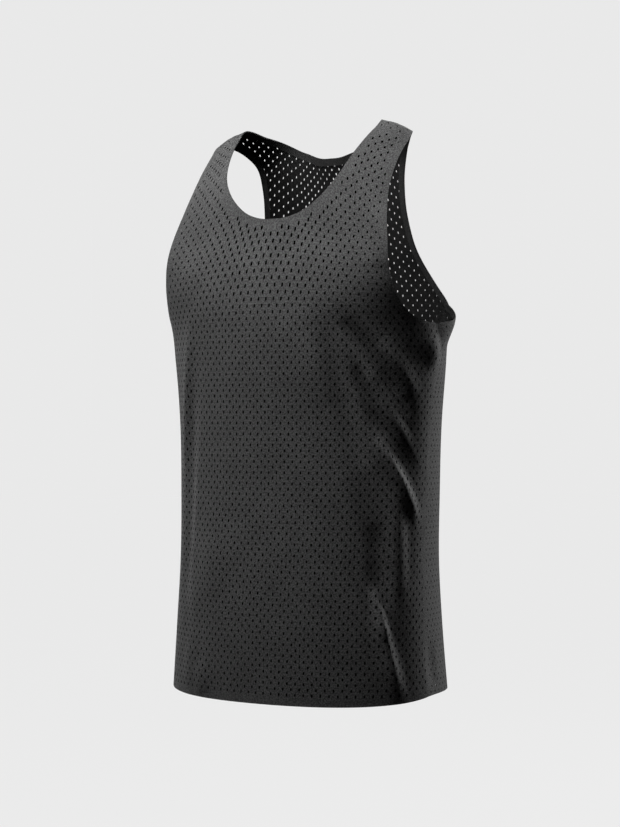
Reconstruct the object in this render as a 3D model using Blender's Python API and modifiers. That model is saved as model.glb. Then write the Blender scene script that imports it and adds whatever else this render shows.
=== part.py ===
"""Running singlet, hollow, as it hangs on its wearer's shoulders.

Metres, +Z up. The wearer faces -Y and their left side is +X. The origin is between the tops of the two
straps, at the height of the shoulder ridge.

Every piece is laid out flat first, in two measures that a pattern cutter would use:
  around  distance from the centre line, measured round the body, positive to the wearer's left;
  over    distance from the shoulder ridge, measured down the front (negative) or down the back (positive).
The flat pieces are then laid on the form that SECTIONS describes, and FOLDS raise or sink the cloth there.
"""

import bmesh
import bpy
import numpy as np
from mathutils import Vector
from mathutils.geometry import delaunay_2d_cdt

NAME = "running_singlet"

# Cloth and bonding, in metres.
CLOTH = 0.0015  # wall of the knit panels
TAPE = 0.0010  # wall of the bonded tapes
TAPE_WIDTH = 0.008
CLEARANCE = 0.0004  # between a tape and the cloth that it lies on
SEAM = 0.0005  # between the panels, at their outer face
SHOULDER_SEAM = -0.024  # `over` of the shoulder join, a little down the front
SEAM_FORWARD = 0.012  # how far the side seam has swung to the front at the hem

TAPES = ("neck_tape", "armhole_tape_left", "armhole_tape_right", "hem_tape")

# The flat mesh.
EDGE_STEP = 0.015  # between points along the edges
CLOTH_STEP = 0.017  # between points on the cloth
LINE_POINTS = 60  # in the hem and side seam before they are spaced
CORNER = 1.2  # tape widths from an outline's point to the inset line, at a corner or more
JOIN = 0.002  # a tape's points this close, on the two sides of a seam, become one

# The form that the cloth lies on, from the hem up to the shoulder ridge. `level` is a section's height at
# STRAP_X, under a strap's inner side; `slope` is how fast the section drops outwards from there.
STRAP_X = 0.090
SECTION_COLUMNS = (
    "level", "half_width", "front_y", "side_y", "back_y", "front_square", "back_square", "slope",
)
SECTIONS = (
    (-0.680, 0.172, -0.133, -0.018, 0.109, 2.1, 2.4, 0.00),
    (-0.600, 0.166, -0.131, -0.019, 0.103, 2.1, 2.4, 0.00),
    (-0.520, 0.162, -0.126, -0.019, 0.099, 2.1, 2.4, 0.00),
    (-0.440, 0.163, -0.121, -0.018, 0.098, 2.1, 2.4, 0.00),
    (-0.360, 0.167, -0.120, -0.018, 0.098, 2.0, 2.3, 0.00),
    (-0.290, 0.173, -0.122, -0.018, 0.098, 2.0, 2.3, 0.00),
    (-0.240, 0.176, -0.121, -0.020, 0.095, 2.2, 2.4, 0.02),
    (-0.190, 0.183, -0.112, -0.024, 0.084, 3.0, 2.5, 0.08),
    (-0.140, 0.187, -0.095, -0.026, 0.068, 4.2, 2.6, 0.20),
    (-0.100, 0.185, -0.084, -0.022, 0.057, 3.6, 2.8, 0.34),
    (-0.065, 0.182, -0.069, -0.016, 0.051, 3.0, 2.9, 0.43),
    (-0.032, 0.178, -0.043, -0.010, 0.044, 2.7, 2.9, 0.45),
    (-0.012, 0.175, -0.019, -0.004, 0.027, 2.5, 2.6, 0.43),
    (0.000, 0.175, 0.000, 0.000, 0.000, 2.5, 2.6, 0.42),
)
TURN = np.linspace(0, np.pi / 2, 72)  # from the centre line round to the side

# Cut edges, as (around, over), from the front to the back.
NECK = (
    (0.000, -0.168), (0.034, -0.158), (0.061, -0.135), (0.082, -0.103), (0.093, -0.070),
    (0.099, -0.037), (0.100, 0.000), (0.092, 0.016), (0.071, 0.043), (0.040, 0.075), (0.000, 0.096),
)
UNDERARM = 0.2755  # `over` where the armhole meets the side seam
HEM_RISE = 0.009  # how much higher the hem is at the sides and back than in the middle of the front
ARMHOLE = (
    (0.204, -0.2745), (0.182, -0.267), (0.165, -0.248), (0.155, -0.215), (0.150, -0.165),
    (0.147, -0.100), (0.146, -0.040), (0.144, 0.000), (0.128, 0.026), (0.114, 0.058),
    (0.107, 0.095), (0.105, 0.135), (0.111, 0.176), (0.131, 0.212), (0.164, 0.244), (0.204, 0.268),
)

# Folds: a soft ridge (height above 0) or trough (below 0) from one place on the cloth to another.
FOLD_COLUMNS = ("around", "over", "to_around", "to_over", "width", "height")
FOLDS = (
    # left front, running down from the chest to the side
    (0.163, -0.293, 0.194, -0.363, 0.011, 0.0035),
    (0.112, -0.278, 0.163, -0.347, 0.014, -0.0040),
    (0.143, -0.337, 0.190, -0.423, 0.012, 0.0045),
    (0.128, -0.345, 0.186, -0.436, 0.012, -0.0040),
    (0.139, -0.388, 0.200, -0.497, 0.012, 0.0060),
    (0.160, -0.461, 0.194, -0.521, 0.012, -0.0040),
    (0.134, -0.566, 0.178, -0.701, 0.012, 0.0060),
    (0.128, -0.533, 0.160, -0.609, 0.014, -0.0040),
    (0.209, -0.293, 0.222, -0.328, 0.010, 0.0040),
    # right front
    (-0.120, -0.281, -0.135, -0.420, 0.016, 0.0020),
    (-0.077, -0.523, -0.064, -0.595, 0.018, 0.0030),
    (-0.107, -0.602, -0.101, -0.660, 0.014, -0.0030),
    (-0.088, -0.670, -0.080, -0.709, 0.010, 0.0030),
    # right side
    (-0.192, -0.300, -0.213, -0.372, 0.012, 0.0040),
    (-0.194, -0.362, -0.217, -0.436, 0.012, -0.0040),
    (-0.194, -0.430, -0.217, -0.520, 0.012, 0.0050),
    (-0.196, -0.560, -0.222, -0.690, 0.013, 0.0050),
    # back
    (0.150, 0.318, 0.104, 0.420, 0.017, 0.0045),
    (0.176, 0.350, 0.128, 0.455, 0.015, -0.0040),
    (-0.142, 0.312, -0.108, 0.402, 0.016, 0.0040),
    (-0.178, 0.362, -0.126, 0.470, 0.016, -0.0045),
    (0.020, 0.330, -0.008, 0.500, 0.024, -0.0050),
    (0.074, 0.410, 0.058, 0.590, 0.020, 0.0045),
    (-0.066, 0.440, -0.078, 0.610, 0.022, 0.0045),
    (0.116, 0.520, 0.124, 0.700, 0.018, 0.0050),
    (-0.152, 0.540, -0.140, 0.705, 0.018, 0.0045),
    (0.010, 0.600, 0.014, 0.708, 0.018, 0.0035),
    # edges that stand away from the body, and the back neck, which leans in
    (0.150, -0.120, 0.152, -0.210, 0.018, 0.0040),
    (-0.150, -0.120, -0.152, -0.210, 0.018, 0.0040),
    (0.180, 0.254, 0.224, 0.282, 0.018, 0.0090),
    (-0.180, 0.254, -0.224, 0.282, 0.018, 0.0060),
    (-0.030, 0.092, 0.030, 0.092, 0.030, -0.0100),
    # straps, rounded over the shoulder
    (0.123, -0.050, 0.123, 0.040, 0.016, 0.0030),
    (-0.123, -0.050, -0.123, 0.040, 0.016, 0.0030),
)
FOLD_POINTS = 14  # along each fold
FOLD_TIP = 0.08  # a fold fades towards its tips as a half sine wave, short of this much at each end

CHARCOAL = (0.046, 0.048, 0.052, 1.0)
TAPE_GREY = (0.060, 0.062, 0.066, 1.0)


# ---------------------------------------------------------------- the form


def cubic(at, knots, values):
    """A smooth curve through (knots, values), read at `at`."""
    slopes = np.gradient(values, knots)
    i = np.clip(np.searchsorted(knots, at, side="right") - 1, 0, len(knots) - 2)
    gap = knots[i + 1] - knots[i]
    t = (at - knots[i]) / gap
    return (
        (1 + 2 * t) * (1 - t) ** 2 * values[i]
        + t * (1 - t) ** 2 * gap * slopes[i]
        + t * t * (3 - 2 * t) * values[i + 1]
        + t * t * (t - 1) * gap * slopes[i + 1]
    )


SECTION = dict(zip(SECTION_COLUMNS, np.array(SECTIONS).T))


def section_heights():
    """How far up the cloth each section lies, from the hem."""
    depth = (SECTION["back_y"] - SECTION["front_y"]) / 2
    steps = np.hypot(np.diff(SECTION["level"]), np.diff(depth))
    return np.concatenate([[0], np.cumsum(steps)])


UP = section_heights()
LENGTH = UP[-1]


def section_value(column, up):
    """A column of SECTIONS at a distance up from the hem. Past the ridge it mirrors the side before it."""
    values = SECTION[column]
    beyond = -values[-2] if column.endswith("_y") else values[-2]
    return cubic(up, np.append(UP, 2 * LENGTH - UP[-2]), np.append(values, beyond))


def quarter(up, back):
    """Quarter sections at each `up`: points from the centre line to the side, and the way round to each."""
    at = {column: section_value(column, up)[:, None] for column in SECTION_COLUMNS}
    square = np.where(back[:, None], at["back_square"], at["front_square"])
    depth = np.where(back[:, None], at["back_y"], at["front_y"]) - at["side_y"]
    x = at["half_width"] * np.sin(TURN) ** (2 / square)
    y = at["side_y"] + depth * np.abs(np.cos(TURN)) ** (2 / square)
    z = at["level"] + at["slope"] * (STRAP_X - x)
    points = np.stack([x, y, z], -1)
    steps = np.linalg.norm(np.diff(points, axis=1), axis=2)
    return points, np.pad(np.cumsum(steps, axis=1), ((0, 0), (1, 0)))


def half_girth(over):
    """From the centre line round to the side of the form, on the panel that `over` is on."""
    over = np.atleast_1d(np.asarray(over, float))
    return quarter(LENGTH - np.abs(over), over > 0)[1][:, -1]


def on_form(around, over):
    """Points of the smooth form. Past the side, `around` carries on round the other panel."""
    out, over = np.abs(np.asarray(around, float)), np.asarray(over, float)
    up, back = LENGTH - np.abs(over), over > 0
    past = out > half_girth(over)
    out = np.where(past, half_girth(over) + half_girth(-over) - out, out)
    points, run = quarter(up, back ^ past)
    i = np.clip((run <= out[:, None]).sum(1) - 1, 0, len(TURN) - 2)
    row = np.arange(len(out))
    t = (out - run[row, i]) / (run[row, i + 1] - run[row, i])
    place = points[row, i] + t[:, None] * (points[row, i + 1] - points[row, i])
    return place * np.stack([np.where(np.asarray(around) < 0, -1, 1), *np.ones((2, len(out)))], -1)


def bump(distance):
    """1 on a fold's line, falling softly to 0 at two widths."""
    return np.where(distance < 2, np.cos(np.pi / 4 * np.minimum(distance, 2)) ** 2, 0)


def fold_lines():
    """Each fold's points on the form, with its width and its height at each point."""
    t = np.linspace(0, 1, FOLD_POINTS)
    for fold in FOLDS:
        row = dict(zip(FOLD_COLUMNS, fold))
        around = row["around"] + t * (row["to_around"] - row["around"])
        over = row["over"] + t * (row["to_over"] - row["over"])
        fade = np.sqrt(np.sin(np.pi * (FOLD_TIP + (1 - 2 * FOLD_TIP) * t)))
        yield on_form(around, over), row["width"], row["height"] * fade


FOLD_LINES = list(fold_lines())


def relief(points):
    """How far the folds raise the cloth at each point."""
    total = np.zeros(len(points))
    for line, width, heights in FOLD_LINES:
        distance = np.linalg.norm(points[:, None] - line, axis=2)
        nearest = distance.argmin(1)
        total += heights[nearest] * bump(distance.min(1) / width)
    return total


def normals(surface, around, over, reach=0.002):
    """Outward normals of a surface, from points a little to each side."""
    across = surface(around + reach, over) - surface(around - reach, over)
    along = surface(around, over + reach) - surface(around, over - reach)
    normal = np.cross(across, along)
    return normal / np.linalg.norm(normal, axis=1)[:, None]


def on_cloth(around, over, inward=0.0):
    """Points of the folded cloth's outer face, or that far inside it."""

    def folded(around, over):
        points = on_form(around, over)
        return points + relief(points)[:, None] * normals(on_form, around, over)

    return folded(around, over) - inward * normals(folded, around, over)


# ---------------------------------------------------------------- flat pieces


def run_length(line):
    """The way along a line to each of its points."""
    return np.concatenate([[0], np.cumsum(np.linalg.norm(np.diff(line, axis=0), axis=1))])


def smooth_line(points, count=400):
    """A dense smooth line through a few points, evenly spaced."""
    points = np.array(points)
    run = run_length(points)
    at = np.linspace(0, run[-1], count)
    return np.stack([cubic(at, run, column) for column in points.T], -1)


def split(line, over):
    """A line that runs from the front to the back, as its part before `over` and its part after."""
    after = int(np.argmax(line[:, 1] > over))
    before = line[after - 1]
    t = (over - before[1]) / (line[after, 1] - before[1])
    there = before + t * (line[after] - before)
    return np.vstack([line[:after], there]), np.vstack([there, line[after:]])


def side_seam(over):
    """`around` of the side seam, which swings to the front towards the hem."""
    swing = SEAM_FORWARD * (np.abs(over) - UNDERARM) / (LENGTH - UNDERARM)
    return half_girth(over) + np.sign(over) * swing


def neck_edge():
    """The left half of the neck edge, level where it crosses the centre line."""
    before, after = (-NECK[1][0], NECK[1][1]), (-NECK[-2][0], NECK[-2][1])
    line = smooth_line([before, *NECK, after])
    return np.vstack([NECK[0], line[line[:, 0] > SEAM], NECK[-1]])


def armhole_edge():
    """The left armhole edge, from the front of the side seam to its back."""
    start, end = ((side_seam(over)[0], over) for over in (-UNDERARM, UNDERARM))
    return smooth_line([start, *ARMHOLE, end])


def half_runs(back):
    """The edges of a panel's left half, from the middle of the hem round to the middle of the neck."""
    sign = 1 if back else -1
    shoulder = SHOULDER_SEAM + sign * SEAM / 2
    neck = split(neck_edge(), shoulder)[back]
    armhole = split(armhole_edge(), shoulder)[back]
    if back:
        armhole = armhole[::-1]
    else:
        neck = neck[::-1]
    across = np.linspace(0, 1, LINE_POINTS)
    over = sign * np.linspace(LENGTH - HEM_RISE, UNDERARM, LINE_POINTS)
    side = np.stack([side_seam(over) - SEAM / 2, over], -1)
    rise = HEM_RISE * (np.ones(LINE_POINTS) if back else across**4)
    armhole[0] = side[-1]
    return {
        "hem": np.stack([across * side[0, 0], sign * (LENGTH - rise)], -1),
        "side": side,
        "armhole": armhole,
        "shoulder": np.array([armhole[-1], neck[0]]),
        "neck": neck,
    }


def spaced(line, margins):
    """Points along a line about EDGE_STEP apart, with one at each margin from its ends."""
    run = run_length(line)
    start, end = margins[0], run[-1] - margins[1]
    count = max(1, round((end - start) / EDGE_STEP))
    at = np.concatenate([[0], np.linspace(start, end, count + 1), [run[-1]]])
    at = at[np.concatenate([[True], np.diff(at) > SEAM])]
    return np.stack([np.interp(at, run, column) for column in line.T], -1)


def closed_outline(runs):
    """A whole panel's outline, with a point a tape's width from each corner."""
    half = []
    for name, line in runs.items():
        margins = (0 if name == "hem" else TAPE_WIDTH, 0 if name == "neck" else TAPE_WIDTH)
        half += list(spaced(line, margins)[:-1])
    half = np.array([*half, runs["neck"][-1]])
    return np.vstack([half, half[-2:0:-1] * (-1, 1)])


def inset(outline, width):
    """The outline moved in by `width`, corner to corner, with one point for each corner."""
    ahead = np.roll(outline, -1, axis=0)
    turn = np.sign((outline[:, 0] * ahead[:, 1] - ahead[:, 0] * outline[:, 1]).sum())
    edge = ahead - outline
    after = turn * np.stack([-edge[:, 1], edge[:, 0]], -1) / np.linalg.norm(edge, axis=1)[:, None]
    before = np.roll(after, 1, axis=0)
    step = (after + before) / (1 + (after * before).sum(1))[:, None]
    corner = np.linalg.norm(step, axis=1) > CORNER
    beside_corner = np.roll(corner, 1) | np.roll(corner, -1)
    return (outline + width * step)[~beside_corner]


def distance_to(points, line):
    """From each point to the nearest place on an open line."""
    start, along = line[:-1], np.diff(line, axis=0)
    t = ((points[:, None] - start) * along).sum(2) / (along**2).sum(1)
    foot = start + np.clip(t, 0, 1)[..., None] * along
    return np.linalg.norm(points[:, None] - foot, axis=2).min(1)


def inside(points, outline):
    """Whether each point lies inside a closed outline."""
    start, end = outline, np.roll(outline, -1, axis=0)
    height = points[:, 1:2]
    crosses = (start[:, 1] > height) != (end[:, 1] > height)
    rise = np.where(crosses, end[:, 1] - start[:, 1], 1)
    at = start[:, 0] + (height - start[:, 1]) * (end[:, 0] - start[:, 0]) / rise
    return (crosses & (points[:, 0:1] < at)).sum(1) % 2 == 1


def cloth_points(outline):
    """Points in staggered rows over a panel, clear of its taped edges."""
    low, high = outline.min(0) - CLOTH_STEP, outline.max(0) + CLOTH_STEP
    rows = np.arange(low[1], high[1], CLOTH_STEP * np.sqrt(3) / 2)
    columns = np.arange(low[0], high[0], CLOTH_STEP)
    around, over = np.meshgrid(columns, rows)
    around[1::2] += CLOTH_STEP / 2
    points = np.stack([around.ravel(), over.ravel()], -1)
    points = points[inside(points, outline)]
    clear = TAPE_WIDTH + CLOTH_STEP / 2
    return points[distance_to(points, np.vstack([outline, outline[:1]])) > clear]


def flat_mesh(runs):
    """Points and triangles of a panel laid flat. A line of edges lies a tape's width inside its outline."""
    outline = closed_outline(runs)
    band = inset(outline, TAPE_WIDTH)
    points = np.vstack([outline, band, cloth_points(outline)])
    n, m = len(outline), len(band)
    rings = [(i, (i + 1) % n) for i in range(n)] + [(n + i, n + (i + 1) % m) for i in range(m)]
    found = delaunay_2d_cdt([Vector(point) for point in points], rings, [], 0, 1e-6)
    flat, faces = np.array([point[:] for point in found[0]]), np.array(found[2])
    return flat, faces[inside(flat[faces].mean(1), outline)]


# ---------------------------------------------------------------- pieces


def material(name, colour):
    """A plain matt cloth."""
    made = bpy.data.materials.new(name)
    made.use_nodes = True
    shader = made.node_tree.nodes["Principled BSDF"]
    shader.inputs["Base Color"].default_value = colour
    shader.inputs["Roughness"].default_value = 0.8
    shader.inputs["Metallic"].default_value = 0.0
    made.diffuse_color = colour
    return made


def sheet(name, points, faces, wall, finish, collection, weld=0.0):
    """An open sheet of cloth, given its wall on the inside."""
    used = np.unique(faces)
    new_index = np.zeros(len(points), int)
    new_index[used] = np.arange(len(used))
    mesh = bpy.data.meshes.new(name)
    mesh.from_pydata(points[used].tolist(), [], new_index[faces].tolist())
    if weld:
        work = bmesh.new()
        work.from_mesh(mesh)
        bmesh.ops.remove_doubles(work, verts=work.verts, dist=weld)
        work.to_mesh(mesh)
        work.free()
    mesh.shade_smooth()
    mesh.materials.append(finish)
    piece = bpy.data.objects.new(name, mesh)
    collection.objects.link(piece)
    solidify = piece.modifiers.new("wall", "SOLIDIFY")
    solidify.thickness = wall
    solidify.offset = -1
    solidify.use_even_offset = True
    return piece


def tape_faces(flat, faces, runs, tape):
    """The triangles of a panel that a tape lies on."""
    middle = flat[faces].mean(1)
    left_half = middle * np.where(middle[:, :1] < 0, (-1, 1), (1, 1))
    near = distance_to(left_half, runs[tape.split("_")[0]]) < TAPE_WIDTH
    if tape.endswith("left"):
        near &= middle[:, 0] > 0
    if tape.endswith("right"):
        near &= middle[:, 0] < 0
    return faces[near]


def build():
    for old in list(bpy.data.objects):
        bpy.data.objects.remove(old, do_unlink=True)
    collection = bpy.data.collections.new(NAME)
    bpy.context.scene.collection.children.link(collection)
    knit = material("perforated_knit", CHARCOAL)
    bonded = material("bonded_tape", TAPE_GREY)

    taped = {tape: [] for tape in TAPES}
    points_inside = np.empty((0, 3))
    for name, back in (("front_panel", False), ("back_panel", True)):
        runs = half_runs(back)
        flat, faces = flat_mesh(runs)
        sheet(name, on_cloth(*flat.T), faces, CLOTH, knit, collection)
        for tape in TAPES:
            taped[tape].append(tape_faces(flat, faces, runs, tape) + len(points_inside))
        points_inside = np.vstack([points_inside, on_cloth(*flat.T, inward=CLOTH + CLEARANCE)])
    for tape in TAPES:
        sheet(tape, points_inside, np.vstack(taped[tape]), TAPE, bonded, collection, weld=JOIN)


build()
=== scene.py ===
"""Looks for the running singlet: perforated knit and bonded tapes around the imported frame.

Metres, +Z up; the wearer faces -Y and their left side is +X. The cloth is laid out flat first, in two
measures:
  around  distance from the centre line, measured round the body, positive to the wearer's left;
  over    distance from the shoulder ridge, measured down the front (negative) or the back (positive).
It is then laid on the form that SECTIONS describes, with the folds and creases that FOLDS lists.
"""

import math

import bpy
import numpy as np
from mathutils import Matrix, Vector
from mathutils.geometry import delaunay_2d_cdt


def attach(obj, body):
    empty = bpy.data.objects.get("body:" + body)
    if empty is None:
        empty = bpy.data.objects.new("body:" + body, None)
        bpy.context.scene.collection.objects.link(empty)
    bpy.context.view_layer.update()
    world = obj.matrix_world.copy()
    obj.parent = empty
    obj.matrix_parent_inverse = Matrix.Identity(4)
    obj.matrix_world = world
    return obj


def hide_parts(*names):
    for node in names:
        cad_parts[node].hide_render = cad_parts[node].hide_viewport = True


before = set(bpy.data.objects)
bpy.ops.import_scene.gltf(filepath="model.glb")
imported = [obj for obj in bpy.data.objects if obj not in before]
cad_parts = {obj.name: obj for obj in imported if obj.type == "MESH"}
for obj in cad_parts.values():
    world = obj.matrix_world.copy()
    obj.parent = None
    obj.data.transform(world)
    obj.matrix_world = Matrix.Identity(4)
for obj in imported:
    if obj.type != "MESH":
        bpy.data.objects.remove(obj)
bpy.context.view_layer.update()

# Cloth and bonding.
CLOTH = 0.0009  # wall of the knit panels
TAPE = 0.0005  # wall of the bonded tapes
TAPE_WIDTH = 0.008
TAPE_ACROSS = (0.0004, 0.0028, 0.0054, TAPE_WIDTH)  # the lines of points along a tape, from the cut edge
TAPE_GAP = 0.00015  # between a tape and the cloth that it lies on
TAPED_EDGES = ("neck", "armhole", "hem")
SEAM = 0.00006  # between the panels
SHOULDER_SEAM = -0.024  # `over` of the shoulder join, a little down the front
SEAM_FORWARD = 0.012  # how far the side seam has swung to the front at the hem

# The knit's holes: an even net of upright slits, every other row set half a space along.
HOLE_SPACE = 0.0100  # between the holes of a row
ROW_SPACE = 0.0063  # between rows
HOLE_WIDE = 0.00108  # half the width of a hole
HOLE_HIGH = 0.0020  # half its height
HOLE_LEAN = 0.0003  # how far its top leans to the wearer's left
HOLE_CORNERS = (0.50, 0.58)  # its side corners, as shares of HOLE_HIGH: away from the lean, and with it
HOLE_GROWTH = (0.5, 1)  # powers of the rows' stretch that a hole widens and lengthens by
BACK_HOLE = 0.80  # size of the back's holes against the front's, where the cloth is stretched more
EDGE_CLEAR = 0.0030  # from a cut edge to the middle of the nearest hole, at least
HOLE_FILL_AT = (0.45, 0.55)  # the two faces of the sheet that closes each of the front's holes, as shares of the wall; it is a dark film of painted shade, or a bonded dot under a tape

# Where the net is stretched or pressed together.
CHEST_STRETCH = 0.42  # how much further apart the rows are under the neck, where the knit hangs taut
BACK_PRESS = -0.15  # the same for the upper back, where the knit is slack
STRETCH_WIDTH = 0.085  # how widely both fade to the sides
STRETCH_END = 0.30  # how far from the ridge both have faded away
STRETCH_FADE = 0.08  # the length over which they fade before that
STRAP_PULL = 0.28  # how much further apart the columns are on the straps, about their middle line
STRAP_MIDDLE = 0.122
STRAP_PULLED = ((-0.20, 0), (-0.12, 1), (0.01, 1), (0.08, 0))  # the share of it that acts, as (over, share)
ARM_PULL = 0.5  # the same beside the back of an armhole, outside ARM_FROM
ARM_FROM = 0.05
ARM_PULLED = ((0, 0), (0.08, 0.6), (0.20, 1), (0.26, 1), (0.36, 0))
PULL_FADE = 0.06  # inside this distance from the centre line, both pulls fade away

# How finely things are worked out.
EDGE_STEP = 0.004  # between points along the edges
SLOPE_STEP = 0.0015  # from a point to the ones that its normal is worked out from
QUARTER_POINTS = 90  # round a quarter of a section of the form
CURVE_POINTS = 400  # along a neck or armhole edge, before points are taken from it at EDGE_STEP
EDGE_POINTS = 60  # along half a hem or a side seam, before the same
COLUMN_POINTS = 240  # down a column of holes, to measure its length
FOLD_POINTS = 11  # along each fold
BATCH = 4000  # points that are measured from a line at a time
ONE_POINT = 1e-7  # within this, two points of the flat cloth are one
ALL_TRIANGLES = 0  # what delaunay_2d_cdt is asked for: every triangle, also in the holes and outside

# The form that the cloth lies on, from the hem up to the shoulder ridge. `level` is a section's height at
# STRAP_X, under a strap's inner side; `slope` is how fast the section drops outwards from there. `side_y` is
# where its front and back quarters meet. A quarter whose `square` is 2 is an ellipse's, and above 2 squarer.
STRAP_X = 0.090
SECTION_COLUMNS = (
    "level", "half_width", "front_y", "side_y", "back_y", "front_square", "back_square", "slope",
)
SECTIONS = (
    (-0.680, 0.172, -0.133, -0.018, 0.109, 2.1, 2.4, 0.00),
    (-0.600, 0.166, -0.131, -0.019, 0.103, 2.1, 2.4, 0.00),
    (-0.520, 0.162, -0.126, -0.019, 0.099, 2.1, 2.4, 0.00),
    (-0.440, 0.163, -0.121, -0.018, 0.098, 2.1, 2.4, 0.00),
    (-0.360, 0.167, -0.120, -0.018, 0.098, 2.0, 2.3, 0.00),
    (-0.290, 0.173, -0.122, -0.018, 0.098, 2.0, 2.3, 0.00),
    (-0.240, 0.176, -0.121, -0.020, 0.095, 2.2, 2.4, 0.02),
    (-0.190, 0.183, -0.112, -0.024, 0.084, 3.0, 2.5, 0.08),
    (-0.140, 0.187, -0.095, -0.026, 0.068, 4.2, 2.6, 0.20),
    (-0.100, 0.185, -0.084, -0.022, 0.057, 3.6, 2.8, 0.34),
    (-0.065, 0.182, -0.069, -0.016, 0.051, 3.0, 2.9, 0.43),
    (-0.032, 0.178, -0.043, -0.010, 0.044, 2.7, 2.9, 0.45),
    (-0.012, 0.175, -0.019, -0.004, 0.027, 2.5, 2.6, 0.43),
    (0.000, 0.175, 0.000, 0.000, 0.000, 2.5, 2.6, 0.42),
)
SPINE = 0.008  # how widely the form's slopes to its two sides round into each other on the centre line

# Cut edges, as (around, over), from the front to the back.
NECK = (
    (0.000, -0.168), (0.034, -0.158), (0.061, -0.135), (0.082, -0.103), (0.093, -0.070),
    (0.099, -0.037), (0.100, 0.000), (0.092, 0.016), (0.071, 0.043), (0.040, 0.075), (0.000, 0.096),
)
ARMHOLE = (
    (0.204, -0.2745), (0.182, -0.267), (0.165, -0.248), (0.155, -0.215), (0.150, -0.165),
    (0.147, -0.100), (0.146, -0.040), (0.144, 0.000), (0.128, 0.026), (0.114, 0.058),
    (0.107, 0.095), (0.105, 0.135), (0.111, 0.176), (0.131, 0.212), (0.164, 0.244), (0.204, 0.268),
)
UNDERARM = 0.2755  # how far from the ridge the armhole meets the side seam
HEM_RISE = 0.0079  # how much higher the hem is at the side seams than in the middle of the front
HEM_RISE_POWER = 4  # how late it rises on the way there
HEM_BACK = 0.0011  # how much it still rises from there, round to the back
HEM_BACK_RATE = 16  # how soon it has done so

# Folds: a soft ridge (height above 0) or trough (below 0) from one place on the cloth to another.
FOLD_COLUMNS = ("around", "over", "to_around", "to_over", "width", "height")
FOLDS = (
    # left front, running down from the chest to the side; a narrow ridge on a wide one is its sharp crest
    (0.100, -0.272, 0.168, -0.362, 0.009, -0.0062),
    (0.076, -0.285, 0.124, -0.450, 0.010, -0.0060),
    (0.050, -0.290, 0.086, -0.372, 0.016, 0.0025),
    (0.124, -0.440, 0.136, -0.548, 0.013, -0.0035),
    (0.144, -0.298, 0.183, -0.362, 0.010, 0.0045),
    (0.182, -0.300, 0.198, -0.338, 0.008, -0.0010),
    (0.138, -0.335, 0.174, -0.390, 0.011, -0.0036),
    (0.127, -0.334, 0.175, -0.420, 0.007, 0.0055),
    (0.112, -0.325, 0.150, -0.410, 0.008, -0.0050),
    (0.128, -0.376, 0.182, -0.446, 0.008, -0.0038),
    (0.136, -0.408, 0.190, -0.502, 0.008, 0.0058),
    (0.137, -0.408, 0.189, -0.500, 0.0045, 0.0036),
    (0.160, -0.458, 0.170, -0.590, 0.009, 0.0046),
    (0.138, -0.505, 0.150, -0.606, 0.010, -0.0065),
    (0.138, -0.580, 0.152, -0.640, 0.006, 0.0075),
    (0.137, -0.580, 0.167, -0.690, 0.0045, 0.0040),
    (0.143, -0.612, 0.172, -0.708, 0.009, 0.0055),
    (0.219, -0.640, 0.227, -0.700, 0.008, -0.0020),
    (0.209, -0.293, 0.222, -0.328, 0.010, 0.0040),
    # right front
    (-0.110, -0.266, -0.140, -0.452, 0.007, 0.0034),
    (-0.114, -0.350, -0.130, -0.620, 0.010, -0.0042),
    (-0.098, -0.580, -0.110, -0.706, 0.011, 0.0030),
    (-0.120, -0.281, -0.135, -0.420, 0.016, 0.0020),
    (-0.077, -0.523, -0.064, -0.595, 0.018, 0.0030),
    (-0.107, -0.602, -0.101, -0.660, 0.014, -0.0030),
    (-0.088, -0.670, -0.080, -0.709, 0.010, 0.0030),
    # right side
    (-0.203, -0.300, -0.222, -0.372, 0.009, 0.0045),
    (-0.200, -0.352, -0.224, -0.432, 0.009, -0.0045),
    (-0.202, -0.415, -0.228, -0.520, 0.009, 0.0060),
    (-0.206, -0.470, -0.228, -0.545, 0.008, -0.0040),
    (-0.204, -0.560, -0.230, -0.690, 0.010, 0.0055),
    # left back
    (0.150, 0.322, 0.110, 0.380, 0.009, 0.0050),
    (0.148, 0.350, 0.104, 0.420, 0.009, -0.0050),
    (0.150, 0.386, 0.086, 0.474, 0.010, 0.0060),
    (0.142, 0.434, 0.090, 0.508, 0.010, -0.0045),
    (0.152, 0.482, 0.114, 0.560, 0.010, 0.0050),
    (0.110, 0.520, 0.126, 0.704, 0.014, 0.0050),
    (0.150, 0.585, 0.162, 0.700, 0.011, -0.0040),
    # right back
    (-0.210, 0.305, -0.150, 0.396, 0.010, 0.0055),
    (-0.190, 0.352, -0.128, 0.440, 0.009, -0.0050),
    (-0.204, 0.410, -0.112, 0.520, 0.011, 0.0060),
    (-0.150, 0.505, -0.120, 0.575, 0.011, -0.0040),
    (-0.158, 0.560, -0.140, 0.706, 0.012, 0.0050),
    # down the middle of the back
    (0.020, 0.330, -0.008, 0.500, 0.022, -0.0050),
    (0.074, 0.410, 0.058, 0.590, 0.018, 0.0045),
    (-0.066, 0.440, -0.078, 0.610, 0.020, 0.0045),
    (0.010, 0.600, 0.014, 0.708, 0.018, 0.0035),
    # edges that stand away from the body, and the back neck, which leans in
    (0.150, -0.120, 0.152, -0.210, 0.018, 0.0040),
    (-0.150, -0.120, -0.152, -0.210, 0.018, 0.0010),
    (0.172, 0.249, 0.236, 0.290, 0.018, 0.0090),
    (-0.172, 0.249, -0.236, 0.290, 0.018, 0.0060),
    (-0.030, 0.092, 0.030, 0.092, 0.030, -0.0100),
    # straps, rounded over the shoulder
    (0.123, -0.050, 0.123, 0.040, 0.016, 0.0030),
    (-0.123, -0.050, -0.123, 0.040, 0.016, 0.0030),
)
FOLD_REACH = 2  # a fold ends this many widths from its line
FOLD_TIP = 0.02  # a fold fades towards its tips as a half sine wave, short of this much at each end
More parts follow.
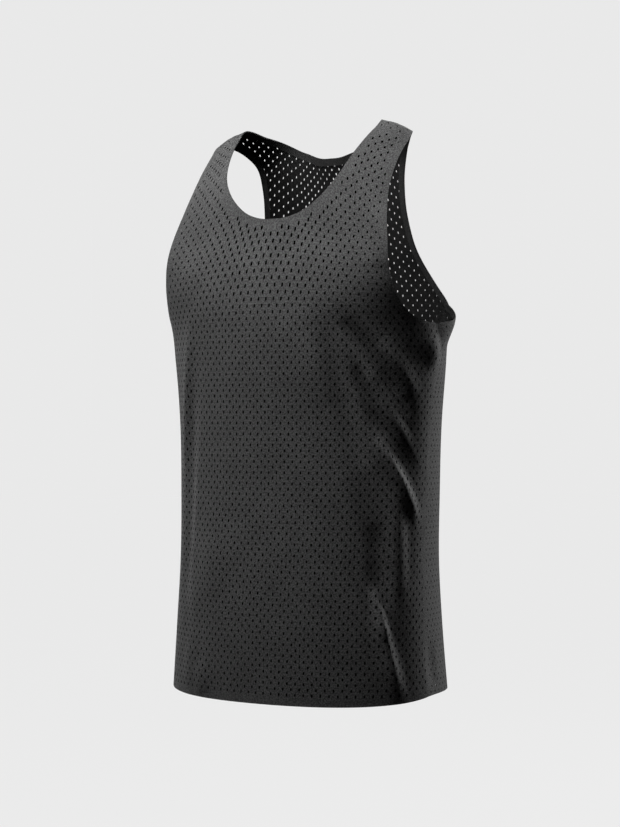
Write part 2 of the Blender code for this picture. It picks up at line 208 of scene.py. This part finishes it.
FOLD_FADE = 0.7  # the power of that wave, which keeps a fold high for longer

# How the cloth's tone is mixed from its textures, and the part of the mix that runs from dark to light.
KNIT_TONE = 0.25
DYE_TONE = 0.12
FUZZ_TONE = 0.8
TONE_RANGE = (0.40, 0.65)
FUZZ_HEIGHT = 0.5  # how high the fuzz stands against the ribs

# The studio.
CAMERA_TURN = 30.0  # degrees to the wearer's left of straight ahead
CAMERA_DISTANCE = 2.3
AIM = Vector((0.0, -0.008, -0.348))
LENS = 83.4  # millimetres, like the sensor
SENSOR = 36.0
# Lamps: `turn` is like the camera's, `distance` is from the singlet's upright axis, and `power` is in watts.
LAMP_COLUMNS = ("name", "turn", "distance", "height", "aim_height", "width", "length", "power")
LAMPS = (
    ("key_high", -20, 0.45, 1.10, -0.10, 0.8, 0.8, 16),
    ("key_low", -12, 0.70, 0.88, -0.10, 0.7, 0.7, 18),
    ("fill", -35, 0.80, 0.40, 0.00, 0.5, 0.5, 5),
    ("rim", 150, 2.20, 0.30, -0.35, 0.8, 1.8, 60),
)
ALL_ROUND = 0.02  # strength of the light from all round
BACKDROP = 0.815  # linear grey of the floor and dome
FLOOR = -1.05  # height of the floor, well below the hem
FLOOR_RADIUS = 14
DOME_RADIUS = 15


# ---------------------------------------------------------------- the form


def cubic(at, knots, values):
    """A smooth curve through (knots, values), read at `at`."""
    slopes = np.gradient(values, knots)
    i = np.clip(np.searchsorted(knots, at, side="right") - 1, 0, len(knots) - 2)
    gap = knots[i + 1] - knots[i]
    t = (at - knots[i]) / gap
    return (
        (1 + 2 * t) * (1 - t) ** 2 * values[i]
        + t * (1 - t) ** 2 * gap * slopes[i]
        + t * t * (3 - 2 * t) * values[i + 1]
        + t * t * (t - 1) * gap * slopes[i + 1]
    )


def eased(t, height):
    """From 0 up to `height` while t goes from 0 to 1, level at both ends."""
    return height * t * t * (3 - 2 * t)


def unit(vectors):
    """The same directions, with a length of 1."""
    return vectors / np.linalg.norm(vectors, axis=1)[:, None]


SECTION = dict(zip(SECTION_COLUMNS, np.array(SECTIONS).T))
TURN = eased(np.linspace(0, 1, QUARTER_POINTS), np.pi / 2)  # from the centre line round to the side


def section_heights():
    """How far up the cloth each section lies, from the hem."""
    depth = (SECTION["back_y"] - SECTION["front_y"]) / 2
    steps = np.hypot(np.diff(SECTION["level"]), np.diff(depth))
    return np.concatenate([[0], np.cumsum(steps)])


UP = section_heights()
LENGTH = UP[-1]


def section_value(column, up):
    """A column of SECTIONS at a distance up from the hem. Past the ridge it mirrors the side before it."""
    values = SECTION[column]
    beyond = -values[-2] if column.endswith("_y") else values[-2]
    return cubic(up, np.append(UP, 2 * LENGTH - UP[-2]), np.append(values, beyond))


def quarter(up, back):
    """Quarter sections at each `up`: points from the centre line to the side, and the way round to each."""
    at = {column: section_value(column, up)[:, None] for column in SECTION_COLUMNS}
    square = np.where(back[:, None], at["back_square"], at["front_square"])
    depth = np.where(back[:, None], at["back_y"], at["front_y"]) - at["side_y"]
    x = at["half_width"] * np.sin(TURN) ** (2 / square)
    y = at["side_y"] + depth * np.abs(np.cos(TURN)) ** (2 / square)
    z = at["level"] + at["slope"] * (STRAP_X - np.hypot(x, SPINE))
    points = np.stack([x, y, z], -1)
    steps = np.linalg.norm(np.diff(points, axis=1), axis=2)
    return points, np.pad(np.cumsum(steps, axis=1), ((0, 0), (1, 0)))


def half_girth(over):
    """From the centre line round to the side of the form, on the panel that `over` is on."""
    over = np.atleast_1d(np.asarray(over, float))
    return quarter(LENGTH - np.abs(over), over > 0)[1][:, -1]


def on_form(around, over):
    """Points of the smooth form. Past the side, `around` carries on round the other panel."""
    out, over = np.abs(around), np.asarray(over, float)
    up, back = LENGTH - np.abs(over), over > 0
    (near, near_run), (far, far_run) = quarter(up, back), quarter(up, ~back)
    past = out > near_run[:, -1]
    out = np.where(past, near_run[:, -1] + far_run[:, -1] - out, out)
    points = np.where(past[:, None, None], far, near)
    run = np.where(past[:, None], far_run, near_run)
    i = np.clip((run <= out[:, None]).sum(1) - 1, 0, len(TURN) - 2)
    row = np.arange(len(out))
    t = (out - run[row, i]) / (run[row, i + 1] - run[row, i])
    place = points[row, i] + t[:, None] * (points[row, i + 1] - points[row, i])
    return place * np.stack([np.where(around < 0, -1, 1), *np.ones((2, len(out)))], -1)


def to_parts(points, line):
    """From each point to each part of a line: how far along the part it meets it, and the distance."""
    along = np.diff(line, axis=0)
    offset = points[:, None] - line[:-1]
    t = np.clip((offset * along).sum(2) / (along**2).sum(1), 0, 1)
    return t, np.linalg.norm(offset - t[..., None] * along, axis=2)


def fold_lines():
    """Each fold's points on the form, with its width and its height at each point."""
    t = np.linspace(0, 1, FOLD_POINTS)
    for fold in FOLDS:
        row = dict(zip(FOLD_COLUMNS, fold))
        around = row["around"] + t * (row["to_around"] - row["around"])
        over = row["over"] + t * (row["to_over"] - row["over"])
        fade = np.sin(np.pi * (FOLD_TIP + (1 - 2 * FOLD_TIP) * t)) ** FOLD_FADE
        yield on_form(around, over), row["width"], row["height"] * fade


FOLD_LINES = list(fold_lines())


def bump(widths):
    """1 on a fold's line, falling softly to 0 at FOLD_REACH widths from it."""
    share = np.minimum(widths / FOLD_REACH, 1)
    return np.where(share < 1, np.cos(np.pi / 2 * share) ** 2, 0)


def relief(points):
    """How far the folds raise the cloth at each point."""
    total = np.zeros(len(points))
    for line, width, heights in FOLD_LINES:
        reach = FOLD_REACH * width
        near = np.flatnonzero(((points > line.min(0) - reach) & (points < line.max(0) + reach)).all(1))
        t, distance = to_parts(points[near], line)
        part = distance.argmin(1)
        t = t[np.arange(len(near)), part]
        height = heights[part] + t * (heights[part + 1] - heights[part])
        total[near] += height * bump(distance.min(1) / width)
    return total


def on_cloth(around, over):
    """Points of the folded cloth's outer face, and its outward normals there."""
    steps = ((0, 0), (SLOPE_STEP, 0), (-SLOPE_STEP, 0), (0, SLOPE_STEP), (0, -SLOPE_STEP))
    form = [on_form(around + a, over + b) for a, b in steps]
    facing = unit(np.cross(form[1] - form[2], form[3] - form[4]))
    middle, left, right, after, before = (place + relief(place)[:, None] * facing for place in form)
    return middle, unit(np.cross(left - right, after - before))


# ---------------------------------------------------------------- cut edges


def run_length(line):
    """The way along a line to each of its points."""
    return np.concatenate([[0], np.cumsum(np.linalg.norm(np.diff(line, axis=0), axis=1))])


def evenly(line):
    """Points along a line about EDGE_STEP apart, ends included."""
    run = run_length(line)
    at = np.linspace(0, run[-1], max(2, round(run[-1] / EDGE_STEP) + 1))
    return np.stack([np.interp(at, run, column) for column in line.T], -1)


def smooth_line(points):
    """A dense smooth line through a few points, evenly spaced."""
    points = np.array(points)
    run = run_length(points)
    at = np.linspace(0, run[-1], CURVE_POINTS)
    return np.stack([cubic(at, run, column) for column in points.T], -1)


def split(line, over):
    """A line that runs from the front to the back, as its part before `over` and its part after."""
    after = int(np.argmax(line[:, 1] > over))
    before = line[after - 1]
    t = (over - before[1]) / (line[after, 1] - before[1])
    there = before + t * (line[after] - before)
    return np.vstack([line[:after], there]), np.vstack([there, line[after:]])


def side_seam(over):
    """`around` of the side seam, which swings to the front towards the hem."""
    swing = SEAM_FORWARD * (np.abs(over) - UNDERARM) / (LENGTH - UNDERARM)
    return half_girth(over) + np.sign(over) * swing


def neck_edge():
    """The left half of the neck edge, level where it crosses the centre line."""
    before, after = (-NECK[1][0], NECK[1][1]), (-NECK[-2][0], NECK[-2][1])
    line = smooth_line([before, *NECK, after])
    return np.vstack([NECK[0], line[line[:, 0] > SEAM], NECK[-1]])


def armhole_edge():
    """The left armhole edge, from the front of the side seam to its back."""
    start, end = ((side_seam(over)[0], over) for over in (-UNDERARM, UNDERARM))
    return smooth_line([start, *ARMHOLE, end])


def hem_edge(back):
    """The left half of a panel's hem, from the centre line to the side seam."""
    sign = 1 if back else -1
    across = np.linspace(0, 1, EDGE_POINTS)
    if back:
        rise = HEM_RISE + HEM_BACK * (1 - np.exp(-HEM_BACK_RATE * (1 - across)))
    else:
        rise = HEM_RISE * across**HEM_RISE_POWER
    side = side_seam(sign * (LENGTH - HEM_RISE))[0]
    return np.stack([across * side, sign * (LENGTH - rise)], -1)


def half_runs(back):
    """The edges of a panel's left half, from the middle of the hem round to the middle of the neck."""
    sign = 1 if back else -1
    shoulder = SHOULDER_SEAM + sign * SEAM / 2
    neck = split(neck_edge(), shoulder)[back]
    armhole = split(armhole_edge(), shoulder)[back]
    if back:
        armhole = armhole[::-1]
    else:
        neck = neck[::-1]
    over = sign * np.linspace(LENGTH - HEM_RISE, UNDERARM, EDGE_POINTS)
    side = np.stack([side_seam(over) - SEAM / 2, over], -1)
    hem = hem_edge(back)
    hem[-1] = side[0]
    armhole[0] = side[-1]
    return {
        "hem": hem,
        "side": side,
        "armhole": armhole,
        "shoulder": np.array([armhole[-1], neck[0]]),
        "neck": neck,
    }


def closed_outline(runs):
    """A whole panel's outline."""
    half = np.vstack([*(evenly(line)[:-1] for line in runs.values()), runs["neck"][-1]])
    return np.vstack([half, half[-2:0:-1] * (-1, 1)])


def distance_to(points, line):
    """From each point to the nearest place on an open line."""
    batches = np.array_split(points, max(1, len(points) // BATCH))
    return np.concatenate([to_parts(batch, line)[1].min(1) for batch in batches])


def inside(points, outline):
    """Whether each point lies inside a closed outline."""
    start, end = outline, np.roll(outline, -1, axis=0)
    height = points[:, 1:2]
    crosses = (start[:, 1] > height) != (end[:, 1] > height)
    rise = np.where(crosses, end[:, 1] - start[:, 1], 1)
    at = start[:, 0] + (height - start[:, 1]) * (end[:, 0] - start[:, 0]) / rise
    return (crosses & (points[:, 0:1] < at)).sum(1) % 2 == 1


# ---------------------------------------------------------------- the knit's holes


def stretch(around, over):
    """How many times further apart the rows are than in slack knit."""
    t = np.clip((STRETCH_END - np.abs(over)) / STRETCH_FADE, 0, 1)
    share = np.where(over < 0, CHEST_STRETCH, BACK_PRESS) * np.exp(-((around / STRETCH_WIDTH) ** 2))
    return 1 + eased(t, share)


def pulled(around, over):
    """Where a column of holes runs, pulled sideways on the straps and at the back of the armholes."""
    side, out = np.sign(around), np.abs(around)
    strap = STRAP_PULL * np.interp(over, *zip(*STRAP_PULLED))
    arm = ARM_PULL * np.interp(over, *zip(*ARM_PULLED))
    shift = strap * np.maximum(out - STRAP_MIDDLE, -STRAP_MIDDLE / 2) + arm * np.maximum(out - ARM_FROM, 0)
    return around + side * shift * np.minimum(out / PULL_FADE, 1)


def net(back):
    """The knit's net on one side of the ridge: the middles of the holes, and the plain spots between them."""
    over = np.linspace(LENGTH, 0, COLUMN_POINTS) * (1 if back else -1)
    middle = (over[1:] + over[:-1]) / 2
    columns = int((half_girth(over).max() + SEAM_FORWARD) / (HOLE_SPACE / 2)) + 1
    holes, spots = [], []
    for column in range(-columns, columns + 1):
        start = column * HOLE_SPACE / 2
        around = pulled(start, over)
        steps = np.diff(run_length(on_form(around, over))) / stretch(around[1:], middle)
        rows = np.concatenate([[0], np.cumsum(steps)]) / ROW_SPACE
        at = np.interp(np.arange(int(rows[-1]) + 1), rows, over)
        places = np.stack([pulled(start, at), at], -1)
        even = (np.arange(len(at)) + column) % 2 == 0
        holes.append(places[even])
        spots.append(places[~even])
    return np.vstack(holes), np.vstack(spots)


def holes_and_spots(back, outline):
    """The middles of a panel's holes, clear of its edges, and the plain spots between and beside them."""
    holes, spots = net(back)
    if back:  # the back panel runs over the ridge to the shoulder join
        holes, spots = (np.vstack(pair) for pair in zip((holes, spots), net(False)))
    holes = holes[inside(holes, outline)]
    spots = spots[inside(spots, outline)]
    loop = np.vstack([outline, outline[:1]])
    clear = distance_to(holes, loop)
    spots = np.vstack([spots, holes[clear <= EDGE_CLEAR]])
    return holes[clear > EDGE_CLEAR], spots[distance_to(spots, loop) > EDGE_CLEAR / 2]


def hole_rims(holes, back):
    """The corners of each hole: its two leaning ends, and two on each side."""
    away, along = HOLE_CORNERS
    half = np.array(
        [(HOLE_LEAN, HOLE_HIGH), (-HOLE_WIDE, HOLE_HIGH * away), (-HOLE_WIDE, -HOLE_HIGH * along)]
    )
    corners = np.vstack([half, -half])
    growth = stretch(*holes.T)[:, None] ** HOLE_GROWTH * (BACK_HOLE if back else 1)
    return holes[:, None] + corners * growth[:, None] * (1, -1 if back else 1)


def rings(first, count, size):
    """The edges of closed rings of `size` points each, numbered on from `first`."""
    point = np.arange(size)
    ring = np.stack([point, (point + 1) % size], -1)
    return (first + np.arange(count)[:, None, None] * size + ring).reshape(-1, 2).tolist()


def triangulated(points, edges):
    """Triangles between flat points that keep the given edges: points, triangles, each point's new number."""
    corners = [Vector(point) for point in points.tolist()]
    places, _, faces, sources, *_ = delaunay_2d_cdt(corners, edges, [], ALL_TRIANGLES, ONE_POINT)
    number = np.zeros(len(points), int)
    for new, old in enumerate(sources):
        number[list(old)] = new
    return np.array([place[:] for place in places]), np.array(faces), number


def cut_panel(back):
    """A panel laid flat, its holes cut out: points, triangles, hole rims, and which holes a tape is under."""
    runs = half_runs(back)
    outline = closed_outline(runs)
    holes, spots = holes_and_spots(back, outline)
    rims = hole_rims(holes, back)
    first, (count, size) = len(outline), rims.shape[:2]
    points = np.vstack([outline, rims.reshape(-1, 2), spots])
    edges = rings(0, 1, first) + rings(first, count, size)
    flat, faces, number = triangulated(points, edges)
    rims = number[first : first + count * size].reshape(-1, size)
    hole_of = np.full(len(flat), -1)
    hole_of[rims] = np.arange(count)[:, None]
    hole = hole_of[faces]
    faces = faces[(hole[:, 0] < 0) | (hole[:, 1:] != hole[:, :1]).any(1)]
    faces = faces[inside(flat[faces].mean(1), outline)]
    left_half = holes * np.where(holes[:, :1] < 0, (-1, 1), (1, 1))
    from_tape = np.min([distance_to(left_half, runs[edge]) for edge in TAPED_EDGES], axis=0)
    return flat, faces, rims, from_tape < TAPE_WIDTH


# ---------------------------------------------------------------- finishes


def set_in(node, **values):
    """Sets a node's inputs by their names, with _ for a space."""
    for name, value in values.items():
        node.inputs[name.replace("_", " ")].default_value = value


def new_material(name):
    """A new material and its shader."""
    made = bpy.data.materials.new(name)
    made.use_nodes = True
    return made, made.node_tree.nodes["Principled BSDF"]


def texture(tree, grain, kind, **values):
    """A texture node that is laid along the cloth's grain."""
    made = tree.nodes.new(kind)
    set_in(made, **values)
    tree.links.new(grain, made.inputs["Vector"])
    return made


def bands(tree, grain, direction, scale, distortion):
    """Fine, slightly uneven bands across the grain's X or Y."""
    made = texture(tree, grain, "ShaderNodeTexWave", Scale=scale, Distortion=distortion)
    set_in(made, Detail=1.0, Detail_Scale=3.0)
    made.wave_type = "BANDS"
    made.bands_direction = direction
    return made.outputs["Fac"]


def noise(tree, grain, scale, detail, roughness):
    """Uneven spots, coarser where the scale is low."""
    made = texture(tree, grain, "ShaderNodeTexNoise", Scale=scale, Detail=detail, Roughness=roughness)
    return made.outputs["Fac"]


def worked_out(tree, operation, *terms):
    """The result of a math node. Its terms are numbers or other nodes' results."""
    made = tree.nodes.new("ShaderNodeMath")
    made.operation = operation
    for term, socket in zip(terms, made.inputs):
        if isinstance(term, (int, float)):
            socket.default_value = term
        else:
            tree.links.new(term, socket)
    return made.outputs[0]


def cloth_material(name, light, dark, knit_depth, gloss=1.0):
    """Matt knit in greys from dark to light: fine ribs along the grain, a little fuzz and uneven dye.

    `gloss` is a share of the shine and sheen of the knit's outer face.
    """
    made, shader = new_material(name)
    set_in(shader, Roughness=0.85, Specular_IOR_Level=0.25 * gloss)
    set_in(shader, Sheen_Weight=0.12 * gloss, Sheen_Roughness=0.45)
    tree = made.node_tree
    attribute = tree.nodes.new("ShaderNodeAttribute")
    attribute.attribute_name = "grain"
    grain = attribute.outputs["Vector"]
    ribs = bands(tree, grain, "X", scale=260.0, distortion=1.2)
    courses = bands(tree, grain, "Y", scale=330.0, distortion=1.0)
    fuzz = noise(tree, grain, scale=520.0, detail=2.0, roughness=0.6)
    dye = noise(tree, grain, scale=28.0, detail=3.0, roughness=0.55)
    knit = worked_out(tree, "MULTIPLY", ribs, courses)

    raised = tree.nodes.new("ShaderNodeBump")
    set_in(raised, Strength=0.9, Distance=knit_depth)
    height = worked_out(tree, "MULTIPLY_ADD", fuzz, FUZZ_HEIGHT, knit)
    tree.links.new(height, raised.inputs["Height"])
    tree.links.new(raised.outputs["Normal"], shader.inputs["Normal"])

    mix = 0
    for part, share in ((knit, KNIT_TONE), (dye, DYE_TONE), (fuzz, FUZZ_TONE)):
        mix = worked_out(tree, "MULTIPLY_ADD", part, share, mix)
    tone = tree.nodes.new("ShaderNodeValToRGB")
    for stop, position, grey in zip(tone.color_ramp.elements, TONE_RANGE, (dark, light)):
        stop.position = position
        stop.color = (grey, grey, grey, 1)
    tree.links.new(mix, tone.inputs["Fac"])
    tree.links.new(tone.outputs["Color"], shader.inputs["Base Color"])
    return made


KNIT = cloth_material("perforated_knit", light=0.080, dark=0.009, knit_depth=0.0002)
# Painted shade: the knit's inner face, much darker than its outer face, as if the inside of the singlet lay
# in shadow.
SHADED_REVERSE = cloth_material("knit_reverse_painted_shade", light=0.014, dark=0.005, knit_depth=0.0002, gloss=0.3)
BONDED = cloth_material("bonded_tape", light=0.028, dark=0.013, knit_depth=0.0001, gloss=0.4)
GLUE = cloth_material("bonded_dots", light=0.075, dark=0.040, knit_depth=0.0001)
# Painted shade: a near-black film in the front's holes and on their walls, standing in for the shade that
# shows through them.
PAINTED_SHADE_FILM = cloth_material("painted_shade_film", light=0.0015, dark=0.0010, knit_depth=0.00002, gloss=0.0)
OUTER, INNER = 0, 1  # numbers of a piece's first two finishes


# ---------------------------------------------------------------- pieces


def new_object(name, data):
    """A new object in the scene."""
    made = bpy.data.objects.new(name, data)
    bpy.context.scene.collection.objects.link(made)
    return made


def outward(points, facing, faces):
    """The faces, all turned to the outside."""
    a, b, c = (points[faces[:, k]] for k in range(3))
    wrong = (np.cross(b - a, c - a) * facing[faces[:, 0]]).sum(1) < 0
    return np.where(wrong[:, None], faces[:, ::-1], faces)


def flat_normals(points, faces):
    """Each face's own normal, once for each of its corners."""
    a, b, c = (points[faces[:, k]] for k in (0, 1, -1))
    return np.repeat(unit(np.cross(b - a, c - a)), faces.shape[1], axis=0)


def free_edges(faces):
    """The edges that only one face has, in the way that the face runs along them."""
    edges = np.vstack([faces[:, [0, 1]], faces[:, [1, 2]], faces[:, [2, 0]]])
    low, high = np.sort(edges, axis=1).T
    _, first, uses = np.unique(low * (edges.max() + 1) + high, return_index=True, return_counts=True)
    return edges[first[uses == 1]]


def mesh_piece(name, points, grain, groups, finishes):
    """A piece made of groups of faces, each with its normals (None for flat ones) and finish numbers."""
    mesh = bpy.data.meshes.new(name)
    mesh.from_pydata(points.tolist(), [], [face for faces, _, _ in groups for face in faces.tolist()])
    mesh.shade_smooth()
    normals = [flat_normals(points, faces) if way is None else way for faces, way, _ in groups]
    mesh.normals_split_custom_set(np.vstack(normals).tolist())
    numbers = [np.broadcast_to(finish, len(faces)) for faces, _, finish in groups]
    mesh.polygons.foreach_set("material_index", np.concatenate(numbers))
    attribute = mesh.attributes.new("grain", "FLOAT_VECTOR", "POINT")
    attribute.data.foreach_set("vector", np.pad(grain, ((0, 0), (0, 1))).ravel())
    for finish in finishes:
        mesh.materials.append(finish)
    return new_object(name, mesh)


def hole_fills(points, facing, wall, rims, finish):
    """Sheets that close holes, and the holes' walls, in one finish: the points of the sheets' two faces, and
    groups for them and the walls. Where the finish is the dark film, sheets and walls are painted shade.
    """
    count, size = len(points), rims.shape[1]
    vertices, groups = [], []
    for side, share in enumerate(HOLE_FILL_AT):  # the outer face, then the inner one
        vertices.append((points - share * wall * facing)[rims].reshape(-1, 3))
        edge = rims + count * side
        ring = count * 2 + side * rims.size + np.arange(rims.size).reshape(-1, size)
        after, ring_after = np.roll(edge, -1, axis=1), np.roll(ring, -1, axis=1)
        walls = np.stack([edge, after, ring_after, ring], -1).reshape(-1, 4)
        way = facing[rims]
        if side:
            walls, ring, way = walls[:, ::-1], ring[:, ::-1], -way[:, ::-1]
        groups += [(walls, None, np.repeat(finish, size)), (ring, way.reshape(-1, 3), finish)]
    return vertices, groups


def shell(name, flat, faces, lift, wall, finishes, filled_rims=None, hole_fill_finish=None):
    """A sheet of cloth with a wall on its inside, smooth over both faces and sharp at its edges.

    `lift` is how far inside the cloth's outer face it lies. Its finishes are those of its outer face and cut
    edges, of its inner face, and of the sheets that close holes. `filled_rims` are the rims of holes that
    such a sheet closes, and `hole_fill_finish` is each one's number among the finishes: the dark film of
    painted shade, or the bonded dots.
    """
    points, facing = on_cloth(*flat.T)
    points = points - lift * facing
    faces = outward(points, facing, faces)
    reverse = faces[:, ::-1]
    count = len(points)
    vertices, grain = [points, points - wall * facing], [flat, flat]
    groups = [
        (faces, facing[faces].reshape(-1, 3), OUTER),
        (reverse + count, -facing[reverse].reshape(-1, 3), INNER),
    ]
    rim = free_edges(faces)
    if filled_rims is not None:
        on_filled_rim = np.zeros(count, bool)
        on_filled_rim[filled_rims] = True
        rim = rim[~on_filled_rim[rim].all(1)]
        fill_vertices, fill_groups = hole_fills(points, facing, wall, filled_rims, hole_fill_finish)
        vertices += fill_vertices
        groups += fill_groups
        grain += [flat[filled_rims].reshape(-1, 2)] * len(HOLE_FILL_AT)
    edges = np.stack([rim[:, 1], rim[:, 0], rim[:, 0] + count, rim[:, 1] + count], -1)
    groups.append((edges, None, OUTER))
    return mesh_piece(name, np.vstack(vertices), np.vstack(grain), groups, finishes)


def panel(name, back):
    """A panel of the knit. The front's holes are closed half-way through by a dark film of painted shade,
    which also darkens their walls; under a tape they are closed by bonded dots instead.
    """
    flat, faces, rims, taped = cut_panel(back)
    if back:
        return shell(name, flat, faces, 0, CLOTH, [KNIT, SHADED_REVERSE])
    finishes = [KNIT, SHADED_REVERSE, PAINTED_SHADE_FILM, GLUE]
    hole_fill_finish = np.where(taped, finishes.index(GLUE), finishes.index(PAINTED_SHADE_FILM))
    return shell(name, flat, faces, 0, CLOTH, finishes, rims, hole_fill_finish)


def tape(name, line, inward):
    """A tape that lies inside the cloth along a closed cut edge, from the edge inward."""
    flat = (line[:, None] + np.array(TAPE_ACROSS)[:, None] * inward[:, None]).reshape(-1, 2)
    size = len(TAPE_ACROSS)
    faces = []
    for i in range(len(line)):
        for k in range(size - 1):
            a = i * size + k
            b = (i + 1) % len(line) * size + k
            faces += [(a, b, b + 1), (a, b + 1, a + 1)]
    return shell(name, flat, np.array(faces), CLOTH + TAPE_GAP, TAPE, [BONDED, BONDED])


def to_the_left(along):
    """Unit steps to the left of each step along a line."""
    return unit(np.stack([-along[:, 1], along[:, 0]], -1))


def neck_line():
    """The whole neck edge, and the way into the cloth from it."""
    half = neck_edge()
    line = evenly(np.vstack([half, half[-2:0:-1] * (-1, 1), half[:1]]))[:-1]
    return line, -to_the_left(np.roll(line, -1, axis=0) - np.roll(line, 1, axis=0))


def armhole_line(side):
    """The armhole edge on one side (1 left, -1 right), and the way into the cloth from it."""
    line = evenly(armhole_edge())
    along = np.gradient(line, axis=0)
    along[[0, -1]] *= (1, 0)  # its two ends meet, level, at the side seam
    return line[:-1] * (side, 1), to_the_left(along)[:-1] * (side, 1)


def hem_line():
    """The whole hem, and the way into the cloth from it."""
    halves = [evenly(hem_edge(back)) for back in (False, True)]
    front, back = (np.vstack([half[:0:-1] * (-1, 1), half[:-1]]) for half in halves)
    line = np.vstack([front, back[::-1]])
    return line, np.column_stack([np.zeros(len(line)), -np.sign(line[:, 1])])


front = panel("front_cloth", False)
back = panel("back_cloth", True)

neck_tape = tape("neck_band", *neck_line())
arm_left = tape("armhole_band_left", *armhole_line(1))
arm_right = tape("armhole_band_right", *armhole_line(-1))
hem_tape = tape("hem_band", *hem_line())

for piece, node_name in (
    (front, "front_panel"), (back, "back_panel"), (neck_tape, "neck_tape"),
    (arm_left, "armhole_tape_left"), (arm_right, "armhole_tape_right"), (hem_tape, "hem_tape"),
):
    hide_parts(node_name)
    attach(piece, "root")


# ---------------------------------------------------------------- studio


def paper():
    """Pale paper, lit evenly from behind, so that it keeps one tone."""
    made, shader = new_material("paper")
    set_in(shader, Base_Color=(0.02, 0.02, 0.02, 1), Roughness=1.0, Specular_IOR_Level=0.0)
    set_in(shader, Emission_Color=(1, 1, 1, 1), Emission_Strength=BACKDROP)
    return made


def surround():
    """A pale floor under the garment and a pale dome around it. They don't light the cloth."""
    bpy.ops.mesh.primitive_circle_add(
        vertices=64, radius=FLOOR_RADIUS, fill_type="NGON", location=(0, 0, FLOOR)
    )
    floor = bpy.context.object
    floor.name = "floor"
    bpy.ops.mesh.primitive_uv_sphere_add(segments=48, ring_count=24, radius=DOME_RADIUS)
    dome = bpy.context.object
    dome.name = "dome"
    made = paper()
    for thing in (floor, dome):
        thing.data.materials.append(made)
        thing.visible_diffuse = thing.visible_glossy = thing.visible_shadow = False


def round_about(turn, distance, height):
    """A place so many degrees to the wearer's left of straight ahead, seen from the singlet."""
    angle = math.radians(turn)
    return (distance * math.sin(angle), -distance * math.cos(angle), height)


def look(thing, place, aim):
    """Puts a lamp or camera at a place, turned to its aim."""
    thing.location = place
    thing.rotation_mode = "QUATERNION"
    thing.rotation_quaternion = (Vector(aim) - Vector(place)).to_track_quat("-Z", "Y")


def photo_camera():
    """The photo's camera, at the height of its aim."""
    camera = new_object("camera", bpy.data.cameras.new("camera"))
    camera.data.lens = LENS
    camera.data.sensor_width = SENSOR
    look(camera, AIM + CAMERA_DISTANCE * Vector(round_about(CAMERA_TURN, 1, 0)), AIM)
    bpy.context.scene.camera = camera


def lamp(row):
    """A soft lamp, from a row of LAMPS, that lights a spot on the singlet's upright axis."""
    data = bpy.data.lights.new(row["name"], "AREA")
    data.shape = "RECTANGLE"
    data.size, data.size_y = row["width"], row["length"]
    data.energy = row["power"]
    place = round_about(row["turn"], row["distance"], row["height"])
    look(new_object(row["name"], data), place, (0, 0, row["aim_height"]))


def dim_world():
    """A little light from all round."""
    world = bpy.data.worlds.new("studio")
    world.use_nodes = True
    set_in(world.node_tree.nodes["Background"], Color=(1, 1, 1, 1), Strength=ALL_ROUND)
    bpy.context.scene.world = world


photo_camera()
surround()
for values in LAMPS:
    lamp(dict(zip(LAMP_COLUMNS, values)))
dim_world()
bpy.context.scene.view_settings.view_transform = "Standard"
